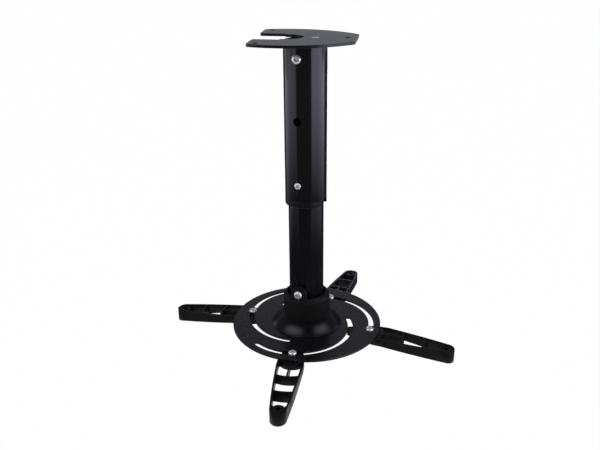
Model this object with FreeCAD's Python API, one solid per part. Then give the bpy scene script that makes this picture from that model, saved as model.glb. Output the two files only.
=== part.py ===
import FreeCAD, Part

import math
import os

V = FreeCAD.Vector

# Ceiling projector mount: slotted plate, clamped telescopic column, tilting cup,
# slotted disc and four swinging arms. Millimetres, +Z up, origin on the plate's top
# face at the column axis, +X along the plate towards its narrow end.

# Ceiling plate
plate_thick = 3.0
plate_wide_x = -53.0
plate_narrow_x = 55.0
plate_wide_half = 50.5
plate_belly_x = -16.0
plate_belly_half = 56.0
plate_narrow_half = 24.5
plate_corner_r = 4.0
cable_slot_half = 20.0
cable_neck_half = 15.5
cable_neck_x = -24.0
cable_slot_end_x = -1.5
cable_slot_corner_r = 3.0
fixing_hole_r = 3.25
finger_hole_x = -44.0
finger_hole_y = 45.0
narrow_hole_x = 45.0

# Column tubes
outer_tube_r = 23.75
outer_tube_wall = 2.0
outer_tube_len = 176.0
inner_tube_r = 20.25
inner_tube_wall = 1.8
tube_overlap = 52.0
bolt_bearing = -104.0
lock_bolt_drop = 16.2
spare_hole_drop = 83.2
clamp_bolt_rise = 20.0
spare_hole_r = 4.6
running_gap = 0.08
sliding_gap = 0.1
face_gap = 0.3

# Neck spigot under the plate
spigot_len = 34.0
spigot_wall = 3.0
spigot_lug_x = 4.0
spigot_lug_len = 14.0
plate_screw_x = 11.0
plate_screw_sink = 0.2

# Split bush at the mouth of the outer tube and guide ring on the inner tube
bush_lip_len = 7.2
bush_sleeve_len = 34.0
bush_lip_round = 1.8
bush_slit_deg = 44.0
bush_slit_turn = 92.0
bush_bolt_gap = 0.5
guide_ring_len = 12.0

# Heights of the joint below the column, above the disc's top face
disc_drop = 342.0
dome_plateau_r = 20.0
dome_base_r = 42.0
dome_sphere_r = 52.5
dome_edge = 0.6
dome_wall = 2.5
cup_r = 27.7
cup_wall = 3.4
cup_floor = 6.0
cup_shoulder_h = 6.5
cup_lip_inset = 4.3
cup_top_rise = 42.0
cup_mouth_r = 22.9
tilt_rise = 47.4
tube_end_drop = 14.0
ear_r = 9.5
ear_thick = 4.6
ear_gap = 0.5
tilt_seat_r = 6.6

# Slotted disc
disc_r = 90.0
disc_thick = 2.6
disc_rim_round = 0.6
slot_count = 3
slot_arc_r = 63.4
slot_centre_r = 15.5
slot_centre_lead = 5.4
slot_first = -129.0
slot_start = -0.8
slot_sweep = 153.0
slot_width = 6.0

# Screws: thread radius, head radius, head height and key size
m4_r = 2.0
m4_head_r = 3.8
m4_head_h = 2.2
m4_key = 2.5
m5_r = 2.5
m5_head_r = 4.75
m5_head_h = 2.75
m5_key = 3.0
m6_r = 3.0
m6_head_r = 5.25
m6_head_h = 3.3
m6_key = 4.0
tilt_head_r = 6.0
tilt_head_h = 3.8
m8_r = 4.0
m8_head_r = 7.0
m8_head_h = 4.4
m8_key = 5.0
m5_nut_flats = 8.0
m5_nut_h = 4.0
m6_nut_flats = 10.0
m6_nut_h = 6.0
m8_nut_flats = 13.0
m8_nut_h = 8.0
m6_washer_r = 6.0
m8_washer_r = 10.0
washer_thick = 1.6
socket_share = 0.55
head_edge_share = 0.2
head_crown_share = 0.42
head_round_out_share = 0.56
head_round_up_share = 0.78
thread_beyond_nut = 2.0

# Arms: distances run outward from the arm's screw, heights down from the disc
arm_len = 102.0
arm_tip_r = 9.3
arm_tail_len = 28.0
arm_tail_r = 3.6
arm_root_half = 13.4
arm_belly_x = 25.0
arm_belly_half = 15.0
arm_waist_x = 62.0
arm_waist_half = 12.5
arm_wall = 2.2
arm_root_depth = 9.0
arm_flat_len = 20.0
arm_tip_drop = 5.8
arm_tip_depth = 21.0
arm_hub_r = 17.0
arm_boss_r = 8.0
arm_skin = 2.6
arm_rib = 2.4
arm_mid_rib = 1.8
arm_first_rib_r = 39.4
arm_second_rib_r = 65.2
arm_tip_x = 88.5
arm_hole_x = 92.0
arm_pad_r = 7.0
arm_pad_drop = 6.2
arm_hole_r = 2.6
nut_pocket_gap = 0.2

# Overshoot of cutters, and how closely an edge is matched when it is picked
cut_over = 1.0
pick_gap = 0.01

# Arm name, slot number, place along the slot and bearing of the arm, in degrees
arms = (
    ("left", 2, 70.0, 174.0),
    ("front", 0, 42.5, -89.5),
    ("right", 1, 0.2, -10.0),
    ("back", 1, 93.4, 79.0),
)

disc_top = -disc_drop
disc_under = disc_top - disc_thick
outer_bore_r = outer_tube_r - outer_tube_wall
inner_bore_r = inner_tube_r - inner_tube_wall
outer_bottom = -plate_thick - outer_tube_len
spigot_r = outer_bore_r - running_gap
spigot_bore_r = spigot_r - spigot_wall
bush_bore_r = inner_tube_r + sliding_gap
tilt_z = disc_top + tilt_rise
inner_top = outer_bottom + tube_overlap
inner_bottom = tilt_z - tube_end_drop
ear_inner = inner_tube_r + ear_gap
ear_outer = ear_inner + ear_thick
lock_bolt_z = -plate_thick - lock_bolt_drop
clamp_bolt_z = outer_bottom + clamp_bolt_rise
spare_hole_z = -plate_thick - spare_hole_drop
dome_centre = dome_edge - math.sqrt(dome_sphere_r ** 2 - dome_base_r ** 2)


def polar(radius, degrees):
    """Point at a radius and bearing on the XY plane."""
    angle = math.radians(degrees)
    return V(radius * math.cos(angle), radius * math.sin(angle), 0)


def cylinder(radius, low, high):
    """Upright cylinder on the Z axis between two heights."""
    return Part.makeCylinder(radius, high - low, V(0, 0, low))


def ring(outer, inner, low, high):
    """Upright tube on the Z axis between two heights."""
    return cylinder(outer, low, high).cut(cylinder(inner, low, high))


def revolve(edges):
    """Solid turned about Z from the edges of a profile on the XZ plane."""
    face = Part.Face(Part.Wire(edges))
    return face.revolve(V(0, 0, 0), V(0, 0, 1), 360)


def chain(points):
    """Line edges through a list of points, in order."""
    return [Part.makeLine(a, b) for a, b in zip(points, points[1:])]


def arc(start, middle, end):
    """Edge of a circular arc through three points."""
    return Part.Arc(start, middle, end).toShape()


def prism(face, depth):
    """Extrude a horizontal face downwards."""
    return face.extrude(V(0, 0, -depth))


def hexagon(flats, low, high):
    """Six-sided prism on the Z axis, across-flats size given."""
    corner = flats / math.sqrt(3)
    points = [polar(corner, 60 * i) + V(0, 0, low) for i in range(7)]
    return Part.Face(Part.makePolygon(points)).extrude(V(0, 0, high - low))


def button_screw(radius, head_r, head_h, key, length):
    """Domed socket screw, head on the plane Z = 0, shank pointing down."""
    crown = head_r * head_crown_share
    edge = head_h * head_edge_share
    shoulder = V((crown + head_r) * head_round_out_share, 0, head_h * head_round_up_share)
    outline = chain([V(head_r, 0, edge), V(head_r, 0, 0), V(radius, 0, 0), V(radius, 0, -length),
                     V(0, 0, -length), V(0, 0, head_h), V(crown, 0, head_h)])
    outline.append(arc(V(crown, 0, head_h), shoulder, V(head_r, 0, edge)))
    socket = hexagon(key, head_h * (1 - socket_share), head_h + cut_over)
    return revolve(outline).cut(socket)


def hex_nut(flats, height, bore):
    """Hexagon nut hanging below the plane Z = 0, with its corners turned off underneath."""
    corner = flats / math.sqrt(3)
    chamfer = corner - flats / 2
    blank = chain([V(0, 0, 0), V(corner, 0, 0), V(corner, 0, chamfer - height),
                   V(corner - chamfer, 0, -height), V(0, 0, -height), V(0, 0, 0)])
    return hexagon(flats, -height, 0).common(revolve(blank)).cut(cylinder(bore, -height, 0))


def washer(outer, bore):
    """Flat washer hanging below the plane Z = 0."""
    return ring(outer, bore, -washer_thick, 0)


def facing(shape, bearing, distance, height):
    """Turn a Z-axis piece so its top points outwards at a bearing, at a distance from the column."""
    turned = shape.copy()
    turned.rotate(V(0, 0, 0), V(0, 1, 0), 90)
    turned.rotate(V(0, 0, 0), V(0, 0, 1), bearing)
    turned.translate(polar(distance, bearing) + V(0, 0, height))
    return turned


def cross_hole(radius, bearing, height, near, far):
    """Horizontal cutter at a bearing, from one distance to another."""
    return facing(cylinder(radius, near, far), bearing, 0, height)


def moved(shape, offset):
    """Copy of a shape, shifted."""
    copy = shape.copy()
    copy.translate(offset)
    return copy


def make_ceiling_plate():
    wide_top = V(plate_wide_x, plate_wide_half, 0)
    wide_low = V(plate_wide_x, -plate_wide_half, 0)
    narrow_top = V(plate_narrow_x, plate_narrow_half, 0)
    narrow_low = V(plate_narrow_x, -plate_narrow_half, 0)
    edges = [
        arc(wide_top, V(plate_belly_x, plate_belly_half, 0), narrow_top),
        Part.makeLine(narrow_top, narrow_low),
        arc(narrow_low, V(plate_belly_x, -plate_belly_half, 0), wide_low),
        Part.makeLine(wide_low, wide_top),
    ]
    plate = prism(Part.Face(Part.Wire(edges)), plate_thick)
    neck_x = cable_slot_end_x - cable_neck_half
    mouth = Part.makeBox(cable_neck_x - plate_wide_x, 2 * cable_slot_half, plate_thick,
                         V(plate_wide_x, -cable_slot_half, -plate_thick))
    neck = Part.makeBox(neck_x - cable_neck_x, 2 * cable_neck_half, plate_thick,
                        V(cable_neck_x, -cable_neck_half, -plate_thick))
    neck_end = moved(cylinder(cable_neck_half, -plate_thick, 0), V(neck_x, 0, 0))
    plate = plate.cut(mouth.fuse([neck, neck_end]))
    outer = [e for e in plate.Edges if is_upright(e) and abs(e.BoundBox.YMax) > cable_slot_half + cut_over]
    plate = plate.makeFillet(plate_corner_r, outer)
    inner = [e for e in plate.Edges if is_upright(e) and abs(e.BoundBox.XMax - plate_wide_x) < pick_gap]
    inner = [e for e in inner if abs(abs(e.BoundBox.YMax) - cable_slot_half) < pick_gap]
    plate = plate.makeFillet(cable_slot_corner_r, inner)
    holes = [(finger_hole_x, finger_hole_y), (finger_hole_x, -finger_hole_y), (narrow_hole_x, 0)]
    for x, y in holes:
        plate = plate.cut(moved(cylinder(fixing_hole_r, -plate_thick, 0), V(x, y, 0)))
    return plate.cut(moved(sunk_seat(), V(plate_screw_x, 0, 0)))


def is_upright(edge):
    """True for a straight edge along Z."""
    box = edge.BoundBox
    return box.ZLength > pick_gap and max(box.XLength, box.YLength) < pick_gap


def make_neck_spigot():
    top = -plate_thick
    spigot = ring(spigot_r, spigot_bore_r, top - spigot_len, top)
    slab = Part.makeBox(spigot_r, 2 * spigot_r, spigot_lug_len,
                        V(spigot_lug_x, -spigot_r, top - spigot_lug_len))
    lug = slab.common(cylinder(spigot_r, top - spigot_lug_len, top))
    hole = moved(cylinder(m5_r, top - spigot_lug_len, top), V(plate_screw_x, 0, 0))
    return spigot.fuse(lug).cut(hole).removeSplitter()


def sunk_screw(top, low):
    """Countersunk screw blank on the Z axis between two heights."""
    outline = chain([V(0, 0, top), V(m5_head_r, 0, top), V(m5_r, 0, top - m5_head_r + m5_r),
                     V(m5_r, 0, low), V(0, 0, low), V(0, 0, top)])
    return revolve(outline)


def sunk_seat():
    """Cutter for the plate screw's hole, its head seat sunk below the plate's top face."""
    mouth = cylinder(m5_head_r, -plate_screw_sink, 0)
    return sunk_screw(-plate_screw_sink, -plate_thick).fuse(mouth)


def make_plate_screw():
    low = thread_beyond_nut - plate_thick - spigot_lug_len
    socket = hexagon(m5_key, -plate_screw_sink - m5_head_h * socket_share, 0)
    return moved(sunk_screw(-plate_screw_sink, low).cut(socket), V(plate_screw_x, 0, 0))


def make_outer_tube():
    tube = ring(outer_tube_r, outer_bore_r, outer_bottom, -plate_thick)
    for radius, height in ((m6_r, lock_bolt_z), (spare_hole_r, spare_hole_z), (m4_r, clamp_bolt_z)):
        tube = tube.cut(cross_hole(radius, bolt_bearing, height, 0, outer_tube_r + cut_over))
    return tube


def seated_bolt(radius, head_r, head_h, key, reach, height):
    """Domed bolt in the outer tube's wall, its end just clear of a round face at the given reach."""
    seat = math.sqrt(outer_tube_r ** 2 - head_r ** 2)
    bolt = button_screw(radius, head_r, head_h, key, seat - reach - sliding_gap)
    wall = ring(outer_tube_r, outer_bore_r, height - head_r, height + head_r)
    wall = wall.cut(cross_hole(radius, bolt_bearing, height, 0, outer_tube_r + cut_over))
    return facing(bolt, bolt_bearing, seat, height).cut(wall)


def make_lock_bolt():
    return seated_bolt(m6_r, m6_head_r, m6_head_h, m6_key, spigot_r, lock_bolt_z)


def make_clamp_bolt():
    return seated_bolt(m4_r, m4_head_r, m4_head_h, m4_key, inner_tube_r, clamp_bolt_z)


def make_tube_bush():
    lip_low = outer_bottom - bush_lip_len
    sleeve_top = outer_bottom + bush_sleeve_len
    round_from = V(outer_tube_r, 0, lip_low + bush_lip_round)
    round_to = V(outer_tube_r - bush_lip_round, 0, lip_low)
    slack = bush_lip_round * (1 - math.sqrt(0.5))
    outline = [arc(round_to, V(outer_tube_r - slack, 0, lip_low + slack), round_from)]
    outline += chain([round_from, V(outer_tube_r, 0, outer_bottom), V(outer_bore_r, 0, outer_bottom),
                      V(outer_bore_r, 0, sleeve_top), V(bush_bore_r, 0, sleeve_top),
                      V(bush_bore_r, 0, lip_low), round_to])
    bush = revolve(outline)
    middle = bolt_bearing + bush_slit_turn
    reach = 2 * outer_tube_r
    corners = [V(0, 0, lip_low), polar(reach, middle - bush_slit_deg / 2) + V(0, 0, lip_low),
               polar(reach, middle + bush_slit_deg / 2) + V(0, 0, lip_low), V(0, 0, lip_low)]
    wedge = Part.Face(Part.makePolygon(corners)).extrude(V(0, 0, sleeve_top - lip_low))
    hole = cross_hole(m4_r + bush_bolt_gap, bolt_bearing, clamp_bolt_z, 0, outer_tube_r)
    return bush.cut(wedge).cut(hole)


def make_inner_tube():
    tube = ring(inner_tube_r, inner_bore_r, inner_bottom, inner_top)
    return tube.cut(cross_hole(m6_r, bolt_bearing, tilt_z, -outer_tube_r, outer_tube_r))


def make_guide_ring():
    guide_r = outer_bore_r - sliding_gap
    collar = ring(guide_r, inner_tube_r, inner_top - guide_ring_len, inner_top)
    rim = ring(guide_r, inner_bore_r, inner_top, inner_top + outer_tube_wall)
    return collar.fuse(rim).removeSplitter()


def make_tilt_bolt():
    length = 2 * ear_outer + washer_thick + m6_nut_h + thread_beyond_nut
    return facing(button_screw(m6_r, tilt_head_r, tilt_head_h, m6_key, length), bolt_bearing, ear_outer, tilt_z)


def make_tilt_washer():
    return facing(washer(m6_washer_r, m6_r), bolt_bearing, -ear_outer, tilt_z)


def make_tilt_nut():
    nut = hex_nut(m6_nut_flats, m6_nut_h, m6_r)
    return facing(nut, bolt_bearing, -ear_outer - washer_thick, tilt_z)


def dome_height(radius, clearance):
    """Height above the disc of the dome's round face, or of a surface held clear of it."""
    return dome_centre + math.sqrt((dome_sphere_r + clearance) ** 2 - radius ** 2)


def dome_radius(height, clearance):
    """Radius at which that surface stands at a height above the disc."""
    return math.sqrt((dome_sphere_r + clearance) ** 2 - (height - dome_centre) ** 2)


def dome_arc(from_r, to_r, clearance):
    """Arc along that surface between two radii."""
    middle = (from_r + to_r) / 2
    points = [V(r, 0, disc_top + dome_height(r, clearance)) for r in (from_r, middle, to_r)]
    return arc(*points)


plateau_z = disc_top + dome_height(dome_plateau_r, 0)
cup_floor_top = plateau_z + cup_floor


def make_dome_cap():
    inside_z = plateau_z - dome_wall
    inner_top_r = dome_radius(inside_z - disc_top, -dome_wall)
    inner_low_r = dome_radius(0, -dome_wall)
    bore = m8_r + running_gap
    outline = [dome_arc(dome_base_r, dome_plateau_r, 0)]
    outline += chain([V(dome_plateau_r, 0, plateau_z), V(bore, 0, plateau_z), V(bore, 0, inside_z),
                      V(inner_top_r, 0, inside_z)])
    outline.append(dome_arc(inner_top_r, inner_low_r, -dome_wall))
    outline += chain([V(inner_low_r, 0, disc_top), V(dome_base_r, 0, disc_top),
                      V(dome_base_r, 0, disc_top + dome_edge)])
    return revolve(outline)


def cup_shoulder_arc(top):
    """Rounded shoulder of the cup, upright where it leaves the wall."""
    round_r = (cup_lip_inset ** 2 + cup_shoulder_h ** 2) / (2 * cup_lip_inset)
    half_turn = math.asin(cup_shoulder_h / round_r) / 2
    low = top - cup_shoulder_h
    middle = V(cup_r - round_r * (1 - math.cos(half_turn)), 0, low + round_r * math.sin(half_turn))
    return arc(V(cup_r, 0, low), middle, V(cup_r - cup_lip_inset, 0, top))


def make_tilt_cup():
    top = disc_top + cup_top_rise
    inner_r = cup_r - cup_wall
    bore = m8_r
    outline = chain([V(bore, 0, plateau_z), V(dome_plateau_r, 0, plateau_z),
                     V(dome_plateau_r, 0, disc_top + dome_height(dome_plateau_r, face_gap))])
    outline.append(dome_arc(dome_plateau_r, cup_r, face_gap))
    outline += chain([V(cup_r, 0, disc_top + dome_height(cup_r, face_gap)), V(cup_r, 0, top - cup_shoulder_h)])
    outline.append(cup_shoulder_arc(top))
    outline += chain([V(cup_r - cup_lip_inset, 0, top), V(cup_mouth_r, 0, top),
                      V(inner_r, 0, top - 2 * cup_wall), V(inner_r, 0, cup_floor_top),
                      V(bore, 0, cup_floor_top), V(bore, 0, plateau_z)])
    cup = revolve(outline)
    for bearing in (bolt_bearing, bolt_bearing + 180):
        cup = cup.fuse(make_ear(bearing, top))
        cup = cup.cut(cross_hole(tilt_seat_r, bearing, tilt_z, ear_outer, 2 * cup_r))
    hole = cross_hole(m6_r + running_gap, bolt_bearing, tilt_z, -2 * cup_r, 2 * cup_r)
    return cup.cut(hole).removeSplitter()


def make_ear(bearing, cup_top):
    """Round-topped ear of the cup around the tilt bolt."""
    barrel = facing(cylinder(ear_r, ear_inner, ear_outer), bearing, 0, tilt_z)
    foot_low = cup_top - cup_shoulder_h
    foot = Part.makeBox(ear_thick, 2 * ear_r, tilt_z - foot_low, V(ear_inner, -ear_r, foot_low))
    foot.rotate(V(0, 0, 0), V(0, 0, 1), bearing)
    cavity = cylinder(cup_mouth_r, foot_low, cup_top)
    return barrel.fuse(foot).cut(cavity)


def make_swivel_bolt():
    grip = cup_floor_top - disc_under
    length = grip + 2 * washer_thick + m8_nut_h + thread_beyond_nut
    bolt = button_screw(m8_r, m8_head_r, m8_head_h, m8_key, length)
    return moved(bolt, V(0, 0, cup_floor_top + washer_thick))


def make_swivel_washers():
    upper = moved(washer(m8_washer_r, m8_r), V(0, 0, cup_floor_top + washer_thick))
    lower = moved(washer(m8_washer_r, m8_r), V(0, 0, disc_under))
    return Part.makeCompound([upper, lower])


def make_swivel_nut():
    return moved(hex_nut(m8_nut_flats, m8_nut_h, m8_r), V(0, 0, disc_under - washer_thick))


def slot_centre(number):
    """Centre of a slot's arc on the disc."""
    return polar(slot_centre_r, slot_first + number * 360 / slot_count + slot_centre_lead)


def slot_point(number, along, radius=slot_arc_r):
    """Point on a slot's arc, at an angle along it."""
    return slot_centre(number) + polar(radius, slot_first + number * 360 / slot_count + along)


def make_slot(number):
    """Cutter for one curved slot with round ends."""
    half = slot_width / 2
    low = slot_start
    high = slot_start + slot_sweep
    middle = (low + high) / 2
    sides = [[slot_point(number, a, slot_arc_r + side) for a in (low, middle, high)] for side in (half, -half)]
    tangent = half / slot_arc_r * 180 / math.pi
    edges = [
        arc(*sides[0]),
        arc(sides[0][2], slot_point(number, high + tangent), sides[1][2]),
        arc(*reversed(sides[1])),
        arc(sides[1][0], slot_point(number, low - tangent), sides[0][0]),
    ]
    cutter = prism(Part.Face(Part.Wire(edges)), disc_thick)
    return moved(cutter, V(0, 0, disc_top))


def make_arm_disc():
    disc = cylinder(disc_r, disc_under, disc_top)
    disc = disc.makeFillet(disc_rim_round, [e for e in disc.Edges if e.BoundBox.ZLength < pick_gap])
    disc = disc.cut(cylinder(m8_r + running_gap, disc_under, disc_top))
    for number in range(slot_count):
        disc = disc.cut(make_slot(number))
    return disc


def arm_outline(inset):
    """Leaf outline of an arm seen from above, pulled in by a wall."""
    tail_s = arm_tail_r - arm_tail_len
    tip_s = arm_len - arm_tip_r
    tail = V(tail_s, arm_tail_r - inset, 0)
    root = V(0, arm_root_half - inset, 0)
    belly = V(arm_belly_x, arm_belly_half - inset, 0)
    waist = V(arm_waist_x, arm_waist_half - inset, 0)
    tip = V(tip_s, arm_tip_r - inset, 0)

    def across(point):
        return V(point.x, -point.y, 0)

    edges = [
        arc(tail, root, belly),
        arc(belly, waist, tip),
        arc(tip, V(arm_len - inset, 0, 0), across(tip)),
        arc(across(tip), across(waist), across(belly)),
        arc(across(belly), across(root), across(tail)),
        arc(across(tail), V(inset - arm_tail_len, 0, 0), tail),
    ]
    return Part.Face(Part.Wire(edges))


def arm_window(inner, outer):
    """Cutter between two arcs about the arm's screw, kept inside the side walls."""
    region = ring(outer, inner, -arm_tip_depth, 0)
    ahead = Part.makeBox(arm_len, 2 * arm_len, arm_tip_depth, V(0, -arm_len, -arm_tip_depth))
    return region.common(ahead).common(prism(arm_outline(arm_wall), arm_tip_depth))


def make_arm():
    """One moulded arm on its own axes: screw at the origin, arm along +X, top on Z = 0."""
    blank = prism(arm_outline(0), arm_tip_depth)
    side = [V(-arm_tail_len, -arm_len, 0), V(arm_flat_len, -arm_len, 0), V(arm_len, -arm_len, -arm_tip_drop),
            V(arm_len, -arm_len, -arm_tip_depth), V(arm_hub_r, -arm_len, -arm_root_depth),
            V(-arm_tail_len, -arm_len, -arm_root_depth), V(-arm_tail_len, -arm_len, 0)]
    arm = blank.common(Part.Face(Part.makePolygon(side)).extrude(V(0, 2 * arm_len, 0)))

    mid_rib = Part.makeBox(arm_len, arm_mid_rib, arm_tip_depth, V(0, -arm_mid_rib / 2, -arm_tip_depth))
    arm = arm.cut(arm_window(arm_hub_r, arm_first_rib_r).cut(mid_rib))
    arm = arm.cut(arm_window(arm_first_rib_r + arm_rib, arm_second_rib_r))
    tip_limit = Part.makeBox(arm_tip_x, 2 * arm_len, arm_tip_depth, V(0, -arm_len, -arm_tip_depth))
    arm = arm.cut(arm_window(arm_second_rib_r + arm_rib, arm_len).common(tip_limit))
    hole_at = V(arm_hole_x, 0, 0)
    arm = arm.fuse(moved(cylinder(arm_pad_r, -arm_tip_depth, -arm_pad_drop), hole_at))
    arm = arm.cut(moved(cylinder(arm_pad_r, -arm_pad_drop, 0), hole_at))
    arm = arm.cut(moved(cylinder(arm_hole_r, -arm_tip_depth, 0), hole_at))

    hollow_depth = arm_root_depth - arm_skin
    hollow = moved(prism(arm_outline(arm_wall), hollow_depth), V(0, 0, -arm_skin))
    hollow = hollow.common(cylinder(arm_hub_r - arm_wall, -arm_root_depth, 0))
    arm = arm.cut(hollow.cut(cylinder(arm_boss_r, -arm_root_depth, 0)))

    pocket = hexagon(m5_nut_flats + nut_pocket_gap, -arm_root_depth, -arm_skin)
    return arm.cut(pocket).cut(cylinder(m5_r + running_gap, -arm_root_depth, 0))


def make_arm_screw():
    length = disc_thick + arm_skin + m5_nut_h + thread_beyond_nut
    return button_screw(m5_r, m5_head_r, m5_head_h, m5_key, length)


def make_arm_nut():
    return moved(hex_nut(m5_nut_flats, m5_nut_h, m5_r + running_gap), V(0, 0, -arm_skin))


def placed_arm_pieces():
    """Screw, nut and moulding of each arm, at their places under the disc."""
    moulding = make_arm()
    screw = make_arm_screw()
    nut = make_arm_nut()
    for name, slot, along, bearing in arms:
        centre = slot_point(slot, along)
        yield name + "_arm_screw", moved(screw, centre + V(0, 0, disc_top))
        for suffix, shape in (("_arm", moulding), ("_arm_nut", nut)):
            turned = shape.copy()
            turned.rotate(V(0, 0, 0), V(0, 0, 1), bearing)
            yield name + suffix, moved(turned, centre + V(0, 0, disc_under))


def build_all():
    pieces = {
        "ceiling_plate": make_ceiling_plate(),
        "neck_spigot": make_neck_spigot(),
        "plate_screw": make_plate_screw(),
        "outer_tube": make_outer_tube(),
        "tube_bush": make_tube_bush(),
        "column_lock_bolt": make_lock_bolt(),
        "height_clamp_bolt": make_clamp_bolt(),
        "inner_tube": make_inner_tube(),
        "guide_ring": make_guide_ring(),
        "tilt_bolt": make_tilt_bolt(),
        "tilt_washer": make_tilt_washer(),
        "tilt_nut": make_tilt_nut(),
        "tilt_cup": make_tilt_cup(),
        "swivel_bolt": make_swivel_bolt(),
        "swivel_washers": make_swivel_washers(),
        "swivel_nut": make_swivel_nut(),
        "dome_cap": make_dome_cap(),
        "arm_disc": make_arm_disc(),
    }
    pieces.update(placed_arm_pieces())
    return pieces


os.makedirs("parts", exist_ok=True)
for node, shape in build_all().items():
    if not shape.isValid():
        raise ValueError(node + " is not a valid solid")
    shape.exportStep("parts/" + node + ".step")
    print(node, len(shape.Solids), round(shape.Volume, 1))
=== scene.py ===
import logging
import math
from dataclasses import dataclass
from enum import Enum

import bmesh
import bpy
from mathutils import Matrix, Vector


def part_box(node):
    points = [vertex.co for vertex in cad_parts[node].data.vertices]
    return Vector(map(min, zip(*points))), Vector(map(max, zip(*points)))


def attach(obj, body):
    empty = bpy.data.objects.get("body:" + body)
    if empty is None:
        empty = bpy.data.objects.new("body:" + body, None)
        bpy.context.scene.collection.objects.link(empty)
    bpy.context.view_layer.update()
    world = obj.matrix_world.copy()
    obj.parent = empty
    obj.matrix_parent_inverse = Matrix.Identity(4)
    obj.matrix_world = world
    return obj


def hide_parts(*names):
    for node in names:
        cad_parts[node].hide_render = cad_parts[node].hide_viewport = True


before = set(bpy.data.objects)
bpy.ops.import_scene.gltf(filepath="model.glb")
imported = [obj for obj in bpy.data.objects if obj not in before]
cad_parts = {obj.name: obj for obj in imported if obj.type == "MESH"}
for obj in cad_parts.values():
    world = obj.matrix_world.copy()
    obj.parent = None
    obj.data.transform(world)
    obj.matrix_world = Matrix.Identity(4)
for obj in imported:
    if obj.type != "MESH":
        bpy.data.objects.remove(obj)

log = logging.getLogger("projector_mount")
MM = 0.001
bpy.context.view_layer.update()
UP = Vector((0, 0, 1))

Point = tuple[float, float]
Span = tuple[float, float]
Colour = tuple[float, float, float]
Corner = tuple[float, float, float]
Hole = tuple[float, float, float, float, float]
Spot = tuple[Vector, Vector]
Piece = bpy.types.Object
Mesh = bpy.types.Mesh
Tree = bpy.types.NodeTree
Socket = bpy.types.NodeSocket
Sockets = bpy.types.bpy_prop_collection
Value = float | Socket
Inputs = dict[str | int, object]

# Places that several sub-assemblies share, in millimetres and degrees
BOLT_BEARING = -104.0
TILT_Z = -294.6
DISC_TOP = -342.0
DISC_THICK = 2.6


class Slot(Enum):
    """Names of the material slots."""

    STEEL = "black_steel"
    PLASTIC = "black_plastic"
    ZINC = "bright_zinc"


class NodeSheet:
    """Short hand for adding nodes to a tree and wiring them."""

    OCTAVE_SHARE = 0.55
    NOISE_MIDDLE: Span = (0.3, 0.7)
    BLEND_MIDDLE: Span = (0.35, 0.65)

    def __init__(self, tree: Tree) -> None:
        """Keep the tree that the nodes go into."""
        self.tree = tree

    def add(self, kind: str, inputs: Inputs | None = None, **settings: str) -> bpy.types.Node:
        """Add a node.

        Args:
            kind: Blender's name for the node type.
            inputs: Socket name or number to a value or to another node's output socket.
            settings: Properties set on the node before its sockets are read.

        Returns:
            The new node.
        """
        node = self.tree.nodes.new(kind)
        for name, value in settings.items():
            setattr(node, name, value)
        for key, value in (inputs or {}).items():
            if isinstance(value, Socket):
                self.tree.links.new(value, node.inputs[key])
            else:
                node.inputs[key].default_value = value
        return node

    def math(self, operation: str, first: Value, second: Value = 0.0) -> Socket:
        """Add a maths node and return its output."""
        return self.add("ShaderNodeMath", {0: first, 1: second}, operation=operation).outputs[0]

    def whole(self, operation: str, first: Value, second: Value) -> Socket:
        """Add a maths node for whole numbers and return its output."""
        return self.add("FunctionNodeIntegerMath", {0: first, 1: second}, operation=operation).outputs[0]

    def noise(self, place: Socket, size_mm: float, detail: float) -> Socket:
        """Add a noise texture whose features are about size_mm across.

        Args:
            place: Coordinates that the noise reads.
            size_mm: Size of a feature in millimetres.
            detail: Octaves of finer noise.

        Returns:
            The noise value.
        """
        scale = 1 / (size_mm * MM)
        inputs = {"Vector": place, "Scale": scale, "Detail": detail, "Roughness": self.OCTAVE_SHARE}
        return self.add("ShaderNodeTexNoise", inputs).outputs[0]

    def spread(self, value: Socket, source: Span, target: Span) -> Socket:
        """Map one range of a value onto another.

        Args:
            value: Value to map.
            source: Low and high end of the value.
            target: Results at the low and at the high end.

        Returns:
            The mapped value.
        """
        inputs = {"Value": value, "From Min": source[0], "From Max": source[1]}
        inputs |= {"To Min": target[0], "To Max": target[1]}
        return self.add("ShaderNodeMapRange", inputs).outputs[0]

    def blend(self, factor: Socket, low: Colour, high: Colour) -> Socket:
        """Blend two colours over the middle of a noise.

        Args:
            factor: Noise between 0 and 1.
            low: Colour where the noise is low.
            high: Colour where the noise is high.

        Returns:
            The blended colour.
        """
        ramp = self.add("ShaderNodeValToRGB", {0: factor})
        for end, place, colour in zip(ramp.color_ramp.elements, self.BLEND_MIDDLE, (low, high)):
            end.position, end.color = place, (*colour, 1)
        return ramp.outputs[0]

    def bump(self, height: Socket, strength: float, depth_mm: float, under: Socket | None = None) -> Socket:
        """Add a bump.

        Args:
            height: Height that the bump follows.
            strength: Share of the bump that shows.
            depth_mm: Depth of the bump in millimetres.
            under: Bump that this one lies on, if there is one.

        Returns:
            The bumped normal.
        """
        inputs = {"Height": height, "Strength": strength, "Distance": depth_mm * MM}
        if under is not None:
            inputs["Normal"] = under
        return self.add("ShaderNodeBump", inputs).outputs[0]

    def height_in(self, coordinates: str) -> Socket:
        """Height read from one of Blender's texture coordinates."""
        place = self.add("ShaderNodeTexCoord").outputs[coordinates]
        return self.add("ShaderNodeSeparateXYZ", {0: place}).outputs["Z"]


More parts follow.
